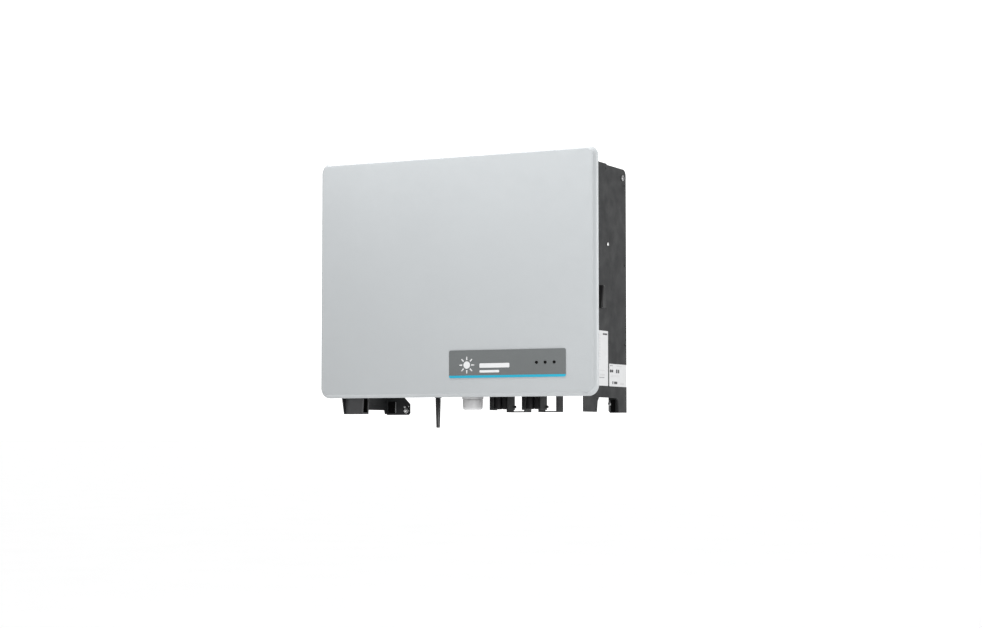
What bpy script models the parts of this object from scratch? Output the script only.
"""A wall-hung string inverter: front cover, sealed housing, heat sink, side plates, ports and wall bracket.

Lengths are in millimetres and become metres where a mesh is made. Shapes are laid out in the cabinet's own
directions: x runs to the right seen from the front, y runs back towards the wall from the cover's rear rim,
and z runs up from the cover's lower edge. The empty cabinet_datum carries them to the part's origin, which is
the middle of the wall bracket's back.
"""

import math

import bmesh
import bpy

MM = 0.001
GAP = 0.3

# Where the wall bracket's back lies, seen from the cover's rear rim and lower edge
WALL_Y = 191.0
ORIGIN_Z = 240.0

# Front cover: a shallow pan with a bevelled edge
COVER_W, COVER_H, COVER_D, COVER_SHEET = 530.0, 412.0, 10.0, 2.0
COVER_CORNER, BEVEL_WIDTH, BEVEL_DEPTH, BEVEL_HOLLOW = 18.0, 5.8, 8.0, 0.9

# Name strip, its coloured band and the light pipes
STRIP_X0, STRIP_X1, STRIP_Z0, STRIP_Z1 = -6.8, 210.0, 31.8, 78.4
BAND_H, STRIP_THICK, STRIP_CORNER = 4.2, 0.8, 3.0
LED_XS, LED_Z, LED_R = (156.9, 172.8, 189.2), 56.0, 2.6

# Housing: an open-fronted box closed by a lid on a gasket
HOUSING_X, HOUSING_Z0, HOUSING_Z1 = 234.2, 22.0, 388.0
HOUSING_Y0, HOUSING_Y1, HOUSING_WALL = 6.8, 125.0, 3.0
LID_INSET, LID_Y0, LID_Y1 = 2.0, 2.0, 4.5
GASKET_WIDTH = 9.0

# Side plates with their feet
PLATE_X, PLATE_THICK = 236.5, 2.0
PLATE_Y0, PLATE_Y1, PLATE_Z1, PLATE_CORNER = 2.3, 180.0, 394.4, 11.0
FOOT_Z, NOTCH_Z, LEFT_FOOT_Z = -25.7, -1.2, -27.2
LEFT_FOOT_Y0, LEFT_FOOT_Y1, LEFT_FOOT_X, LEFT_WEB_Z = 22.0, 46.5, -194.4, -18.7
LEFT_REAR_FOOT_Y, FOOT_RAMP, FOOT_WALL = 167.0, 3.0, 3.0
HOUSING_CORNER, HOUSING_INNER_CORNER = 8.0, 5.0
STANDOFF_XZ, STANDOFF_R = ((-200, 45), (-200, 367), (200, 110), (200, 367)), 6.0
TOP_STEP, TOP_STEP_Y = 1.8, 98.0
NOTCH_FRONT_Y, NOTCH_REAR_Y, NOTCH_CORNER = 64.4, 143.8, 8.0

# Flanges across the rear feet
FLANGE_Y0, FLANGE_Y1, FLANGE_TOP_Z = 176.0, 178.0, 14.0
RIGHT_FLANGE_X, LEFT_FLANGE_X = 203.8, -187.1
RIGHT_FLANGE_CUT, LEFT_FLANGE_CUT = 8.0, 21.6
GROUND_BOLT_XZ = (-194.9, -19.2)

# Screws and labels on the right side: (y, z, head radius, head height), and (y0, y1, z0, z1)
SIDE_SCREW, REAR_BOLT = (100.4, 257.7, 3.0, 1.6), (164.7, 377.0, 5.0, 2.0)
RATING_LABEL, NOTICE_LABEL = (37.3, 99.7, 18.5, 110.6), (104.8, 178.0, 18.2, 56.2)
LABEL_THICK, LABEL_CORNER = 0.4, 1.5

# Heat sink behind the housing
SINK_X, SINK_Z0, SINK_Z1 = 225.0, 45.0, 375.0
SINK_BASE_Y1, SINK_FIN_Y1, FIN_COUNT, FIN_THICK = 133.0, 178.0, 24, 2.5

# Hook over the wall bracket's lip
RAIL_HALF, RAIL_Y0, RAIL_SHEET = 150.0, 178.3, 2.5
HOOK_Y1, HOOK_Z0, HOOK_Z1, RAIL_Z1 = 189.0, 331.0, 348.5, 372.0
BRACKET_HALF, BRACKET_Z0, LIP_Y0, LIP_Z0 = 160.0, 150.0, 183.5, 327.5
BRACKET_SLOT_R, BRACKET_SLOTS = 4.5, ((-130, 300), (0, 300), (130, 300), (-130, 180), (130, 180))

# Plug bays under the housing
BAY_XS, BAY_FRONT_Y, BAY_REAR_Y = (66.5, 126.9), 43.0, 107.0
GUARD_HALF, GUARD_DEPTH, GUARD_SHEET, GUARD_TRAY = 17.8, 25.0, 2.0, 1.8
GUARD_FRONT_Z, GUARD_REAR_Z = -21.8, -24.7
PLUG_R, PLUG_OFFSET, PLUG_SHANK_R = 7.3, 7.5, 5.0
PLUG_LONG_Z, PLUG_SHORT_Z, SHANK_TOP_Z = -20.5, 3.0, 34.0

# Round ports under the housing
GLAND_XY, GLAND_R, GLAND_Z0, GLAND_COLLAR_Z = (1.5, 60.0), 17.6, -20.8, -2.5
GLAND_SHANK_R, AC_SHANK_R, ANTENNA_SHANK_R, VENT_SHANK_R = 14.0, 16.0, 4.0, 5.0
ANTENNA_XY, ANTENNA_PIVOT_Z, WHIP_TIP_Z = (-82.5, 90.0), 4.0, -51.0
WHIP_TOP_R, WHIP_TIP_R = 4.75, 3.25
KNUCKLE_R, KNUCKLE_Z0, KNUCKLE_Z1, KNUCKLE_PIN_R = 6.5, 11.5, 13.5, 1.5
EAR_R, TONGUE_R = 3.6, 3.4
AC_XY, AC_R, AC_Z0 = (-168.0, 70.0), 22.0, 3.0
VENT_XY = (-40.0, 40.0)

# Rotary switch on the right side
SWITCH_Y, SWITCH_Z, SWITCH_SHAFT_R = 50.0, 164.7, 3.0
KNOB_R, KNOB_X1, ESCUTCHEON_R, ESCUTCHEON_THICK = 16.0, 253.0, 21.0, 1.5
# The handle's outline about its axis: (towards the rear, upwards)
GRIP = ((-8.5, -18.5), (8.5, -18.5), (8.5, -11), (4.5, 17), (2.5, 20), (-2.5, 20), (-4.5, 17), (-8.5, -11))

# Circulation fan inside the housing
FAN_X, FAN_Z, FAN_Y0, FAN_Y1 = -182.0, 300.0, 45.0, 65.0
FAN_HALF, FAN_BORE_R, FAN_BLADE_R, FAN_HUB_R, FAN_BLADES = 30.0, 27.0, 25.0, 9.0, 5

COLOURS = {
    "cover_paint": ((0.62, 0.66, 0.68), 0.42, 0.0),
    "strip_grey": ((0.21, 0.21, 0.21), 0.45, 0.0),
    "band_cyan": ((0.02, 0.36, 0.58), 0.4, 0.0),
    "led_black": ((0.01, 0.01, 0.01), 0.25, 0.0),
    "body_grey": ((0.06, 0.06, 0.065), 0.55, 0.2),
    "cast_aluminium": ((0.45, 0.46, 0.47), 0.5, 0.9),
    "zinc": ((0.62, 0.62, 0.62), 0.35, 1.0),
    "black_plastic": ((0.02, 0.02, 0.02), 0.5, 0.0),
    "grey_nylon": ((0.5, 0.5, 0.5), 0.5, 0.0),
    "black_rubber": ((0.03, 0.03, 0.03), 0.8, 0.0),
    "label_white": ((0.8, 0.8, 0.8), 0.5, 0.0),
    "board_green": ((0.02, 0.14, 0.06), 0.5, 0.0),
    "capacitor_sleeve": ((0.05, 0.06, 0.12), 0.4, 0.0),
    "winding_copper": ((0.55, 0.24, 0.1), 0.4, 0.8),
}


# ---------------------------------------------------------------- shapes

def clear_scene():
    for obj in list(bpy.data.objects):
        bpy.data.objects.remove(obj, do_unlink=True)


def make_datum():
    datum = bpy.data.objects.new("cabinet_datum", None)
    datum.location = (0.0, -WALL_Y * MM, -ORIGIN_Z * MM)
    bpy.context.collection.objects.link(datum)
    return datum


def make_materials():
    made = {}
    for name, (colour, roughness, metallic) in COLOURS.items():
        material = bpy.data.materials.new(name)
        material.use_nodes = True
        shader = material.node_tree.nodes["Principled BSDF"]
        shader.inputs["Base Color"].default_value = (*colour, 1.0)
        shader.inputs["Roughness"].default_value = roughness
        shader.inputs["Metallic"].default_value = metallic
        made[name] = material
    return made


def circle(radius, segments, centre=(0.0, 0.0), phase=0.0):
    turn = 2 * math.pi / segments
    return [
        (centre[0] + radius * math.cos(phase + turn * i), centre[1] + radius * math.sin(phase + turn * i))
        for i in range(segments)
    ]


def rounded_rect(x0, x1, z0, z1, radii, steps=5):
    """Corner radii start at the lower right and go round counter-clockwise; one number serves all four."""
    if not isinstance(radii, (tuple, list)):
        radii = (radii,) * 4
    corners = ((x1, z0, -90), (x1, z1, 0), (x0, z1, 90), (x0, z0, 180))
    points = []
    for (x, z, start), radius in zip(corners, radii):
        towards = (1 if x == x0 else -1, 1 if z == z0 else -1)
        centre = (x + towards[0] * radius, z + towards[1] * radius)
        if radius == 0:
            points.append((x, z))
            continue
        for i in range(steps + 1):
            angle = math.radians(start + 90 * i / steps)
            points.append((centre[0] + radius * math.cos(angle), centre[1] + radius * math.sin(angle)))
    return points


def along(axis, points, level):
    """Sets an outline at a level along an axis; its two numbers are the other axes' in alphabetical order."""
    if axis == "X":
        return [(level, a, b) for a, b in points]
    if axis == "Y":
        return [(a, level, b) for a, b in points]
    return [(a, b, level) for a, b in points]


def loft(rings, closed=False):
    """Skins rings of equally many points, and caps both ends unless the skin closes on itself."""
    mesh = bmesh.new()
    rows = [[mesh.verts.new(point) for point in ring] for ring in rings]
    pairs = list(zip(rows, rows[1:]))
    if closed:
        pairs.append((rows[-1], rows[0]))
    else:
        mesh.faces.new(rows[0])
        mesh.faces.new(rows[-1])
    for low, high in pairs:
        for i in range(len(low)):
            j = (i + 1) % len(low)
            mesh.faces.new((low[i], low[j], high[j], high[i]))
    bmesh.ops.recalc_face_normals(mesh, faces=mesh.faces)
    return mesh


def prism(axis, outline, low, high):
    return loft([along(axis, outline, low), along(axis, outline, high)])


def block(x0, x1, y0, y1, z0, z1):
    return prism("Z", [(x0, y0), (x1, y0), (x1, y1), (x0, y1)], z0, z1)


def turned(axis, centre, profile, segments=24, closed=False, phase=0.0):
    """Turns (radius, level) pairs about an axis through centre."""
    return loft([along(axis, circle(r, segments, centre, phase), level) for r, level in profile], closed)


def tube_frame(axis, outer, inner, low, high):
    """A straight tube whose outer and inner outlines have equally many points."""
    rings = [along(axis, outer, low), along(axis, outer, high), along(axis, inner, high), along(axis, inner, low)]
    return loft(rings, closed=True)


def merged(*meshes):
    """Puts several closed shells in one mesh, for cutters and for unions."""
    whole = bmesh.new()
    for mesh in meshes:
        data = bpy.data.meshes.new("shell")
        mesh.to_mesh(data)
        mesh.free()
        whole.from_mesh(data)
        bpy.data.meshes.remove(data)
    return whole


class Bench:
    """Where finished pieces are put: it knows the datum and the materials."""

    def __init__(self, datum, materials):
        self.datum = datum
        self.materials = materials

    def put(self, name, mesh, material, origin=(0.0, 0.0, 0.0), smooth=35.0):
        for vert in mesh.verts:
            vert.co = [(value - start) * MM for value, start in zip(vert.co, origin)]
        data = bpy.data.meshes.new(name)
        mesh.to_mesh(data)
        mesh.free()
        data.materials.append(self.materials[material])
        data.shade_smooth()
        data.set_sharp_from_angle(angle=math.radians(smooth))
        obj = bpy.data.objects.new(name, data)
        obj.location = [value * MM for value in origin]
        obj.parent = self.datum
        bpy.context.collection.objects.link(obj)
        return obj

    def helper(self, target, mesh, operation):
        """A hidden shape cut from, or joined to, a piece."""
        number = sum(m.type == "BOOLEAN" for m in target.modifiers) + 1
        name = f"{target.name}_{operation.lower()}_{number}"
        origin = [value / MM for value in target.location]
        shape = self.put(name, mesh, "led_black", origin)
        shape.hide_render = True
        shape.display_type = "WIRE"
        modifier = target.modifiers.new(name, "BOOLEAN")
        modifier.operation = operation
        modifier.solver = "EXACT"
        modifier.object = shape

    def cut(self, target, mesh):
        self.helper(target, mesh, "DIFFERENCE")

    def join(self, target, mesh):
        self.helper(target, mesh, "UNION")


# ---------------------------------------------------------------- cover and its strip

def cover_ring(inset, y):
    half = COVER_W / 2 - inset
    corner = COVER_CORNER - inset
    return along("Y", rounded_rect(-half, half, inset, COVER_H - inset, corner, 6), y)


def led_holes(y0, y1, radius):
    return merged(*[turned("Y", (x, LED_Z), [(radius, y0), (radius, y1)], 16) for x in LED_XS])


def front_cover(bench):
    """A flat face, a slightly hollow bevel and a short wall back to the rim."""
    steps, sheet = 4, COVER_SHEET
    mitre = sheet * math.tan(math.radians(22.5))
    outer, inner = [], []
    for i in range(steps + 1):
        t = i / steps
        hollow = 4 * BEVEL_HOLLOW * t * (1 - t)
        outer.append(cover_ring(BEVEL_WIDTH * (1 - t) + hollow, -COVER_D + BEVEL_DEPTH * t + hollow))
        inset = (BEVEL_WIDTH + mitre) * (1 - t) + sheet * t + hollow
        level = sheet * (1 - t) + (BEVEL_DEPTH + mitre) * t + hollow * (1 - t)
        inner.append(cover_ring(inset, -COVER_D + level))
    rings = outer + [cover_ring(0, 0), cover_ring(sheet, 0)] + inner[::-1]
    cover = bench.put("front_cover", loft(rings), "cover_paint")
    bench.cut(cover, led_holes(-COVER_D - 5, -COVER_D + 5, LED_R + GAP))


def name_strip(bench):
    y1 = -COVER_D - GAP
    y0 = y1 - STRIP_THICK
    corner = STRIP_CORNER
    upper = rounded_rect(STRIP_X0, STRIP_X1, STRIP_Z0 + BAND_H + GAP, STRIP_Z1, (0, corner, corner, 0))
    strip = bench.put("name_strip", prism("Y", upper, y0, y1), "strip_grey")
    bench.cut(strip, led_holes(y0 - 2, y1 + 2, LED_R + GAP))
    lower = rounded_rect(STRIP_X0, STRIP_X1, STRIP_Z0, STRIP_Z0 + BAND_H, (corner, 0, 0, corner))
    bench.put("accent_band", prism("Y", lower, y0, y1), "band_cyan")


def status_leds(bench):
    front = -COVER_D - GAP - STRIP_THICK - 0.3
    back = -COVER_D + COVER_SHEET + 1.0
    for number, x in enumerate(LED_XS, 1):
        pipe = turned("Y", (x, LED_Z), [(LED_R - 0.4, front), (LED_R, front + 0.4), (LED_R, back)], 16)
        bench.put(f"status_led_{number}", pipe, "led_black")


def cover_standoffs(bench):
    front, back = -COVER_D + COVER_SHEET + GAP, LID_Y0 - GAP
    for number, (x, z) in enumerate(STANDOFF_XZ, 1):
        shank = [(STANDOFF_R, front), (STANDOFF_R, back)]
        bench.put(f"cover_standoff_{number}", turned("Y", (x, z), shank, 6), "zinc")


# ---------------------------------------------------------------- housing

def housing_outline(inset, corner=HOUSING_CORNER):
    half = HOUSING_X - inset
    return rounded_rect(-half, half, HOUSING_Z0 + inset, HOUSING_Z1 - inset, corner, 3)


def port_holes():
    """Holes through the floor of the housing for every port that hangs from it."""
    low, high = HOUSING_Z0 - 5, HOUSING_Z0 + 7
    places = [(x + side * PLUG_OFFSET, y, PLUG_SHANK_R) for x in BAY_XS for y in (BAY_FRONT_Y, BAY_REAR_Y)
              for side in (-1, 1)]
    places += [(*GLAND_XY, GLAND_SHANK_R), (*ANTENNA_XY, ANTENNA_SHANK_R)]
    places += [(*AC_XY, AC_SHANK_R), (*VENT_XY, VENT_SHANK_R)]
    return merged(*[turned("Z", (x, y), [(r + 0.5, low), (r + 0.5, high)], 16) for x, y, r in places])


def housing(bench):
    outer, inner = housing_outline(0), housing_outline(HOUSING_WALL, HOUSING_INNER_CORNER)
    rings = [
        along("Y", outer, HOUSING_Y1),
        along("Y", outer, HOUSING_Y0),
        along("Y", inner, HOUSING_Y0),
        along("Y", inner, HOUSING_Y1 - HOUSING_WALL),
    ]
    box = bench.put("housing", loft(rings), "body_grey")
    bench.cut(box, port_holes())
    reach = [(SWITCH_SHAFT_R + 0.8, HOUSING_X - 8), (SWITCH_SHAFT_R + 0.8, HOUSING_X + 4)]
    bench.cut(box, turned("X", (SWITCH_Y, SWITCH_Z), reach, 16))


def lid_and_gasket(bench):
    lid = housing_outline(LID_INSET)
    bench.put("inner_lid", prism("Y", lid, LID_Y0, LID_Y1), "body_grey")
    outer = housing_outline(LID_INSET)
    inner = housing_outline(LID_INSET + GASKET_WIDTH, HOUSING_INNER_CORNER)
    seal = tube_frame("Y", outer, inner, LID_Y1 + GAP, HOUSING_Y0 - GAP)
    bench.put("lid_gasket", seal, "black_rubber")


# ---------------------------------------------------------------- side plates and feet

def quarter(centre, radius, steps=5):
    """A quarter circle from the first axis to the second."""
    angles = [math.pi / 2 * i / steps for i in range(steps + 1)]
    return [(centre[0] + radius * math.cos(a), centre[1] + radius * math.sin(a)) for a in angles]


def plate_top():
    """The rounded rear corner, then the top edge with its small step."""
    low_z = PLATE_Z1 - TOP_STEP
    corner = quarter((PLATE_Y1 - PLATE_CORNER, low_z - PLATE_CORNER), PLATE_CORNER)
    return corner + [(TOP_STEP_Y + 1, low_z), (TOP_STEP_Y, PLATE_Z1), (PLATE_Y0, PLATE_Z1)]


def side_outline_right():
    """The right plate's outline: two feet with a notch between them, and a small step in its top edge."""
    radius, rear_y = NOTCH_CORNER, NOTCH_REAR_Y
    notch_rear = quarter((rear_y - radius, NOTCH_Z - radius), radius)
    return (
        [(PLATE_Y0, FOOT_Z), (NOTCH_FRONT_Y - 9, FOOT_Z), (NOTCH_FRONT_Y - 5.5, -8), (NOTCH_FRONT_Y, NOTCH_Z)]
        + notch_rear[::-1]
        + [(rear_y + 2, FOOT_Z), (PLATE_Y1, FOOT_Z)]
        + plate_top()
    )


def side_outline_left():
    """The left plate's outline: a slanted front foot, a deep web and a rear foot."""
    return (
        [(PLATE_Y0, 18), (LEFT_FOOT_Y0 - 4, 8)]
        + [(LEFT_FOOT_Y0 + 5, LEFT_FOOT_Z), (LEFT_FOOT_Y1, LEFT_FOOT_Z)]
        + [(LEFT_FOOT_Y1 + FOOT_RAMP, LEFT_WEB_Z), (LEFT_REAR_FOOT_Y, LEFT_WEB_Z)]
        + [(LEFT_REAR_FOOT_Y + FOOT_RAMP, FOOT_Z), (PLATE_Y1, FOOT_Z)]
        + plate_top()
    )


def foot_flange(inner_x, outer_x, z_low, chamfer):
    """A plate across the rear foot, facing forward, with its free upper corner cut off."""
    step = 1 if outer_x > inner_x else -1
    outline = [
        (outer_x, z_low),
        (inner_x + 3 * step, z_low),
        (inner_x, z_low + 3),
        (inner_x, FLANGE_TOP_Z - chamfer),
        (inner_x + chamfer * step, FLANGE_TOP_Z),
        (outer_x, FLANGE_TOP_Z),
    ]
    return prism("Y", outline, FLANGE_Y0, FLANGE_Y1)


def side_plates(bench):
    inner = PLATE_X - PLATE_THICK
    right = bench.put("side_plate_right", prism("X", side_outline_right(), inner, PLATE_X), "body_grey")
    bench.join(right, foot_flange(RIGHT_FLANGE_X, PLATE_X - 1, FOOT_Z, RIGHT_FLANGE_CUT))
    reach = [(SWITCH_SHAFT_R + 0.8, inner - 3), (SWITCH_SHAFT_R + 0.8, PLATE_X + 3)]
    bench.cut(right, turned("X", (SWITCH_Y, SWITCH_Z), reach, 16))
    left = bench.put("side_plate_left", prism("X", side_outline_left(), -PLATE_X, -inner), "body_grey")
    bench.join(left, foot_flange(LEFT_FLANGE_X, -PLATE_X + 1, FOOT_Z - 1.5, LEFT_FLANGE_CUT))


def left_foot_block(bench):
    """The cast block in the left front foot: a tapered box, open towards the ports, with a chamfered corner."""
    outer, inner = -PLATE_X + PLATE_THICK + GAP, LEFT_FOOT_X
    y0, y1 = LEFT_FOOT_Y0, LEFT_FOOT_Y1

    def ring(taper, z):
        return along("Z", [
            (outer, y1), (outer, y0 + 4 + taper), (outer + 9, y0 + taper),
            (inner - taper, y0 + taper), (inner - taper, y1),
        ], z)

    top = HOUSING_Z0 - GAP
    taper, pocket_depth, beyond = 3.0, 26.0, 4.0
    foot = bench.put("left_foot_block", loft([ring(taper, LEFT_FOOT_Z), ring(0.0, top)]), "body_grey")
    pocket = block(inner - pocket_depth, inner + beyond, y0 + taper + FOOT_WALL, y1 - FOOT_WALL,
                   LEFT_FOOT_Z + FOOT_WALL, top - FOOT_WALL)
    bench.cut(foot, pocket)


def ground_bolt(bench):
    y = FLANGE_Y0 - GAP
    profile = [(4.75, y), (4.75, y - 1.2), (3.4, y - 1.2), (3.4, y - 4.2)]
    bench.put("ground_bolt", turned("Y", GROUND_BOLT_XZ, profile, 12), "zinc")


def screw_head(bench, name, y, z, radius, height):
    x = PLATE_X + GAP
    profile = [(radius, x), (radius, x + 0.6 * height), (0.75 * radius, x + height)]
    bench.put(name, turned("X", (y, z), profile, 16), "zinc")


def side_fittings(bench):
    screw_head(bench, "side_screw", *SIDE_SCREW)
    screw_head(bench, "rear_bolt", *REAR_BOLT)
    x0, x1 = PLATE_X + GAP, PLATE_X + GAP + LABEL_THICK
    for name, edges in (("rating_label", RATING_LABEL), ("notice_label", NOTICE_LABEL)):
        bench.put(name, prism("X", rounded_rect(*edges, LABEL_CORNER, 2), x0, x1), "label_white")


# ---------------------------------------------------------------- heat sink, rail and bracket

def heat_sink(bench):
    """A comb extruded upwards: fins run from the base plate towards the wall."""
    base_y0 = HOUSING_Y1 + GAP
    pitch = (2 * SINK_X - FIN_THICK) / (FIN_COUNT - 1)
    outline = [(-SINK_X, base_y0), (SINK_X, base_y0)]
    for i in reversed(range(FIN_COUNT)):
        left = -SINK_X + i * pitch
        outline += [(left + FIN_THICK, SINK_BASE_Y1)] * (i < FIN_COUNT - 1)
        outline += [(left + FIN_THICK, SINK_FIN_Y1), (left, SINK_FIN_Y1)]
        outline += [(left, SINK_BASE_Y1)] * (i > 0)
    bench.put("heat_sink", prism("Z", outline, SINK_Z0, SINK_Z1), "cast_aluminium")


def hanger_rail(bench):
    inner_z = HOOK_Z1 - RAIL_SHEET
    outline = [
        (RAIL_Y0, HOOK_Z0), (RAIL_Y0 + RAIL_SHEET, HOOK_Z0), (RAIL_Y0 + RAIL_SHEET, inner_z),
        (HOOK_Y1 - RAIL_SHEET, inner_z), (HOOK_Y1 - RAIL_SHEET, HOOK_Z0), (HOOK_Y1, HOOK_Z0),
        (HOOK_Y1, HOOK_Z1), (RAIL_Y0 + RAIL_SHEET, HOOK_Z1), (RAIL_Y0 + RAIL_SHEET, RAIL_Z1),
        (RAIL_Y0, RAIL_Z1),
    ]
    bench.put("hanger_rail", prism("X", outline, -RAIL_HALF, RAIL_HALF), "zinc")


def wall_bracket(bench):
    back, sheet = WALL_Y, RAIL_SHEET
    lip_top = HOOK_Z1 - RAIL_SHEET - GAP
    outline = [
        (back, BRACKET_Z0), (back, LIP_Z0 + sheet), (LIP_Y0 + sheet, LIP_Z0 + sheet),
        (LIP_Y0 + sheet, lip_top), (LIP_Y0, lip_top), (LIP_Y0, LIP_Z0), (back - sheet, LIP_Z0),
        (back - sheet, BRACKET_Z0),
    ]
    bracket = bench.put("wall_bracket", prism("X", outline, -BRACKET_HALF, BRACKET_HALF), "zinc")
    reach = [(BRACKET_SLOT_R, back - 8), (BRACKET_SLOT_R, back + 4)]
    bench.cut(bracket, merged(*[turned("Y", place, reach, 16) for place in BRACKET_SLOTS]))


# ---------------------------------------------------------------- ports under the housing

def plug_places():
    for row, y in (("front", BAY_FRONT_Y), ("rear", BAY_REAR_Y)):
        for bay, x in enumerate(BAY_XS, 1):
            yield row, bay, x, y


def plug_guards(bench):
    top, sheet, half = HOUSING_Z0 - GAP, GUARD_SHEET, GUARD_HALF
    for row, bay, x, y in plug_places():
        y0, y1 = y - GUARD_DEPTH / 2, y + GUARD_DEPTH / 2
        if row == "front":
            low = GUARD_FRONT_Z
            outline = [
                (x - half, low), (x - half + sheet, low), (x - half + sheet, top - sheet),
                (x + half - sheet, top - sheet), (x + half - sheet, low), (x + half, low),
                (x + half, top), (x - half, top),
            ]
            mesh = prism("Y", outline, y0, y1)
        else:
            outer = rounded_rect(x - half, x + half, GUARD_REAR_Z, top, 0)
            inner = rounded_rect(x - half + sheet, x + half - sheet, GUARD_REAR_Z + GUARD_TRAY, top - sheet, 0)
            mesh = tube_frame("Y", outer, inner, y0, y1)
        guard = bench.put(f"plug_guard_{row}_{bay}", mesh, "body_grey")
        reach = [(PLUG_SHANK_R + 0.5, top - 5), (PLUG_SHANK_R + 0.5, top + 3)]
        holes = [turned("Z", (x + side * PLUG_OFFSET, y), reach, 16) for side in (-1, 1)]
        bench.cut(guard, merged(*holes))


def dc_connectors(bench):
    """Sockets with sealing caps: long ones in the front bays, short ones in the rear bays."""
    shoulder = HOUSING_Z0 - GAP - GUARD_SHEET - GAP
    for row, bay, x, y in plug_places():
        low = PLUG_LONG_Z if row == "front" else PLUG_SHORT_Z
        profile = [
            (PLUG_R - 2.4, low), (PLUG_R - 0.9, low + 0.7), (PLUG_R, low + 2.8), (PLUG_R, shoulder),
            (PLUG_SHANK_R, shoulder), (PLUG_SHANK_R, SHANK_TOP_Z),
        ]
        for pole, side in (("minus", -1), ("plus", 1)):
            mesh = turned("Z", (x + side * PLUG_OFFSET, y), profile, 16)
            bench.put(f"dc_connector_{row}_{bay}_{pole}", mesh, "black_plastic")


def comm_gland(bench):
    collar_z, collar_r = GLAND_COLLAR_Z, GLAND_R + 0.8
    top = HOUSING_Z0 - GAP
    body = [(collar_r, collar_z), (collar_r, top), (GLAND_SHANK_R, top), (GLAND_SHANK_R, SHANK_TOP_Z)]
    bench.put("comm_gland_body", turned("Z", GLAND_XY, body, 24), "grey_nylon")
    low, bore, deep = GLAND_Z0, 9.5, GLAND_Z0 + 6
    nut = [
        (GLAND_R, collar_z - GAP), (GLAND_R - 0.5, low + 4), (GLAND_R - 1.0, low + 2.0),
        (GLAND_R - 2.2, low + 0.5), (GLAND_R - 3.6, low), (bore, low), (bore, deep),
    ]
    bench.put("comm_gland_nut", turned("Z", GLAND_XY, nut, 24), "grey_nylon", (*GLAND_XY, low))
    seal = [(bore - GAP, low + 1), (bore - GAP, deep - GAP)]
    bench.put("comm_gland_seal", turned("Z", GLAND_XY, seal, 20), "black_rubber")


def half_turn(start, steps=8):
    return [start + math.pi * i / steps for i in range(steps + 1)]


def antenna(bench):
    """A whip that tilts between the ears of a knuckle, which swivels under a fixed base."""
    x, y = ANTENNA_XY
    pivot = (x, y, ANTENNA_PIVOT_Z)
    top, bottom = HOUSING_Z0 - GAP, KNUCKLE_Z1 + GAP
    base = [(8, bottom), (9, bottom + 1), (9, top), (ANTENNA_SHANK_R, top), (ANTENNA_SHANK_R, SHANK_TOP_Z)]
    bench.put("antenna_base", turned("Z", ANTENNA_XY, base, 16), "black_plastic")
    disc = turned("Z", ANTENNA_XY, [(KNUCKLE_R, KNUCKLE_Z0), (KNUCKLE_R, KNUCKLE_Z1)], 20)
    knuckle = bench.put("antenna_knuckle", disc, "black_plastic", pivot)
    ear = [(y + EAR_R, KNUCKLE_Z0 + 1), (y - EAR_R, KNUCKLE_Z0 + 1)]
    ear += [(y + EAR_R * math.cos(a), ANTENNA_PIVOT_Z + EAR_R * math.sin(a)) for a in half_turn(math.pi)]
    bench.join(knuckle, merged(*[prism("X", ear, x + a, x + b) for a, b in ((-5.4, -3.2), (3.2, 5.4))]))
    pin = [(KNUCKLE_PIN_R, x - 4.5), (KNUCKLE_PIN_R, x + 4.5)]
    bench.join(knuckle, turned("X", (y, ANTENNA_PIVOT_Z), pin, 12))
    low, high = WHIP_TIP_Z, ANTENNA_PIVOT_Z - 4.3
    stem = [(WHIP_TIP_R - 0.8, low), (WHIP_TIP_R, low + 0.8), (WHIP_TOP_R, high - 1), (WHIP_TOP_R - 0.6, high)]
    whip = bench.put("antenna_whip", turned("Z", ANTENNA_XY, stem, 20), "black_plastic", pivot)
    arch = [(y + TONGUE_R * math.cos(a), ANTENNA_PIVOT_Z + TONGUE_R * math.sin(a)) for a in half_turn(0.0)]
    tongue = [(y + TONGUE_R, high - 2)] + arch + [(y - TONGUE_R, high - 2)]
    bench.join(whip, prism("X", tongue, x - 2.8, x + 2.8))
    bore = [(KNUCKLE_PIN_R + 0.4, x - 4), (KNUCKLE_PIN_R + 0.4, x + 4)]
    bench.cut(whip, turned("X", (y, ANTENNA_PIVOT_Z), bore, 12))


def ac_socket(bench):
    top, floor, rim = HOUSING_Z0 - GAP, 15.0, AC_R - 3
    shell = [
        (rim, floor), (rim, AC_Z0), (AC_R, AC_Z0), (AC_R, top - 3), (AC_R + 2, top - 3), (AC_R + 2, top),
        (AC_SHANK_R, top), (AC_SHANK_R, SHANK_TOP_Z),
    ]
    bench.put("ac_socket_shell", turned("Z", AC_XY, shell, 24), "black_plastic")
    insert = turned("Z", AC_XY, [(rim - GAP, floor - 5), (rim - GAP, floor - GAP)], 24)
    face = bench.put("ac_socket_insert", insert, "black_plastic")
    holes = [turned("Z", place, [(2.2, floor - 8), (2.2, floor - 2)], 10) for place in circle(9.0, 5, AC_XY)]
    bench.cut(face, merged(*holes))


def breather_vent(bench):
    top = HOUSING_Z0 - GAP
    profile = [
        (6, top - 5), (7.5, top - 4), (7.5, top), (VENT_SHANK_R, top), (VENT_SHANK_R, SHANK_TOP_Z - 4),
    ]
    bench.put("breather_vent", turned("Z", VENT_XY, profile, 16), "black_plastic")


# ---------------------------------------------------------------- rotary switch

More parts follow.
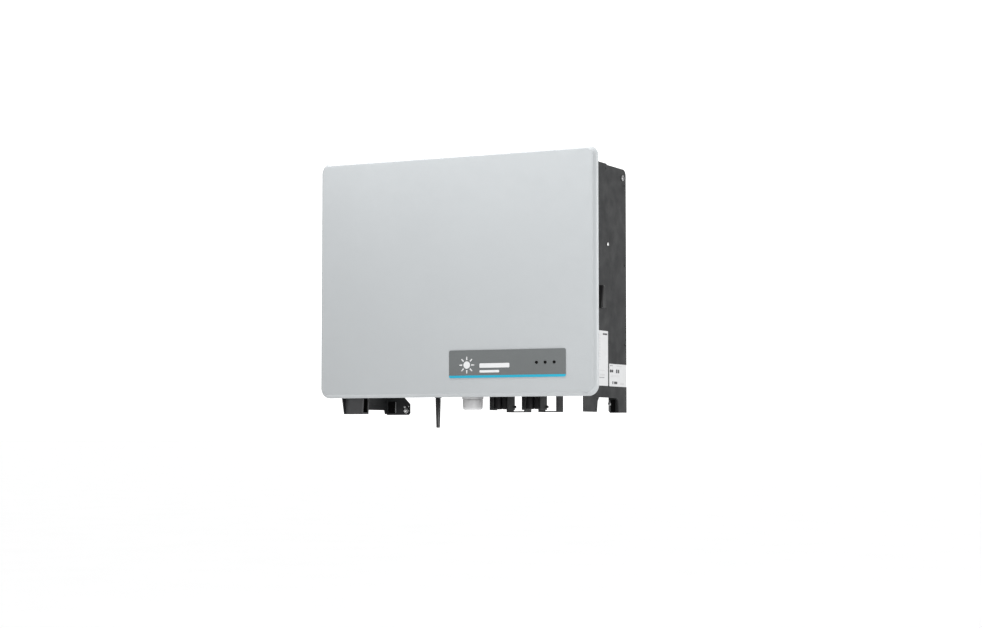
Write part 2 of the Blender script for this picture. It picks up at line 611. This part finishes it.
def dc_switch(bench):
    centre = (SWITCH_Y, SWITCH_Z)
    plate_x0 = PLATE_X + GAP
    plate_x1, bore = plate_x0 + ESCUTCHEON_THICK, SWITCH_SHAFT_R + 0.8
    ring = [(ESCUTCHEON_R, plate_x0), (ESCUTCHEON_R, plate_x1), (bore, plate_x1), (bore, plate_x0)]
    bench.put("dc_switch_escutcheon", turned("X", centre, ring, 24, closed=True), "black_plastic")
    body_x1 = 199.4
    body = block(160, body_x1, SWITCH_Y - 15, SWITCH_Y + 15, SWITCH_Z - 25, SWITCH_Z + 25)
    bench.put("dc_switch_body", body, "black_plastic")
    axis_point = (plate_x1, SWITCH_Y, SWITCH_Z)
    shaft = turned("X", centre, [(SWITCH_SHAFT_R, body_x1 + GAP), (SWITCH_SHAFT_R, plate_x1)], 12)
    bench.put("dc_switch_shaft", shaft, "zinc", axis_point)
    skirt_x0, skirt_x1 = plate_x1 + GAP, plate_x1 + 6
    skirt = turned("X", centre, [(KNOB_R, skirt_x0), (KNOB_R, skirt_x1 - 1), (KNOB_R - 1, skirt_x1)], 28)
    knob = bench.put("dc_switch_knob", skirt, "black_plastic", axis_point)
    foot = [(SWITCH_Y + y, SWITCH_Z + z) for y, z in GRIP]
    head = [(SWITCH_Y + 0.82 * y, SWITCH_Z + 0.9 * z) for y, z in GRIP]
    grip = [along("X", foot, skirt_x0 + 1), along("X", foot, KNOB_X1 - 1.5), along("X", head, KNOB_X1)]
    bench.join(knob, loft(grip))


# ---------------------------------------------------------------- inside the housing

def boards(bench):
    bench.put("power_board", block(-140, 140, 95.0, 97.0, 60, 350), "board_green")
    bench.put("control_board", block(-120, 60, 24.0, 25.6, 215, 350), "board_green")
    bench.put("power_module", block(-60, 100, 97.3, 121.7, 100, 140), "black_plastic")


def capacitors(bench):
    profile = [(15, 94.7), (17, 92.7), (17, 52), (15.5, 50)]
    for number, x in enumerate((-90, -50, -10), 1):
        bench.put(f"dc_link_capacitor_{number}", turned("Y", (x, 170), profile, 20), "capacitor_sleeve")


def chokes(bench):
    """Ring-wound chokes with their axes towards the front."""
    for name, x, z, outer in (("boost_choke_1", 60, 105, 30), ("boost_choke_2", 125, 105, 30),
                              ("output_choke", -110, 100, 34)):
        profile = [(outer, 62), (outer, 90), (outer - 3, 93), (14, 93), (12, 90), (12, 62), (15, 59),
                   (outer - 3, 59)]
        bench.put(name, turned("Y", (x, z), profile, 20, closed=True), "winding_copper")


def fan(bench):
    centre = (FAN_X, FAN_Z)
    outline = rounded_rect(FAN_X - FAN_HALF, FAN_X + FAN_HALF, FAN_Z - FAN_HALF, FAN_Z + FAN_HALF, 4, 3)
    frame = bench.put("fan_frame", prism("Y", outline, FAN_Y0, FAN_Y1), "black_plastic")
    bench.cut(frame, turned("Y", centre, [(FAN_BORE_R, FAN_Y0 - 3), (FAN_BORE_R, FAN_Y1 + 3)], 32))
    strut_y0, strut_y1 = FAN_Y1 - 3.0, FAN_Y1
    reach = FAN_BORE_R + 1.0
    bench.join(frame, block(FAN_X - reach, FAN_X + reach, strut_y0, strut_y1, FAN_Z - 2, FAN_Z + 2))
    bench.join(frame, turned("Y", centre, [(FAN_HUB_R, strut_y0 - 0.2), (FAN_HUB_R, strut_y1 - 0.2)], 20))
    hub = turned("Y", centre, [(FAN_HUB_R - 1, FAN_Y0 + 1), (FAN_HUB_R, FAN_Y0 + 2), (FAN_HUB_R, strut_y0 - 1)], 20)
    rotor = bench.put("fan_rotor", hub, "black_plastic", (FAN_X, FAN_Y0, FAN_Z))
    for i in range(FAN_BLADES):
        bench.join(rotor, fan_blade(2 * math.pi * i / FAN_BLADES))


def fan_blade(angle):
    """A flat blade set at a pitch: each end is a slanted four-point section across the blade's span."""
    chord, thick = 10.0, 1.4
    middle_y = (FAN_Y0 + FAN_Y1) / 2 - 2.0
    rings = []
    for radius, pitch in ((FAN_HUB_R - 2.5, math.radians(50)), (FAN_BLADE_R, math.radians(30))):
        ring = []
        for a, b in ((-1, -1), (1, -1), (1, 1), (-1, 1)):
            across = a * chord / 2 * math.cos(pitch) - b * thick / 2 * math.sin(pitch)
            deep = a * chord / 2 * math.sin(pitch) + b * thick / 2 * math.cos(pitch)
            x = radius * math.cos(angle) - across * math.sin(angle)
            z = radius * math.sin(angle) + across * math.cos(angle)
            ring.append((FAN_X + x, middle_y + deep, FAN_Z + z))
        rings.append(ring)
    return loft(rings)


def main():
    clear_scene()
    bench = Bench(make_datum(), make_materials())
    for make in (
        front_cover, name_strip, status_leds, cover_standoffs, housing, lid_and_gasket, side_plates,
        left_foot_block, ground_bolt, side_fittings, heat_sink, hanger_rail, wall_bracket, plug_guards,
        dc_connectors, comm_gland, antenna, ac_socket, breather_vent, dc_switch, boards, capacitors,
        chokes, fan,
    ):
        make(bench)


main()
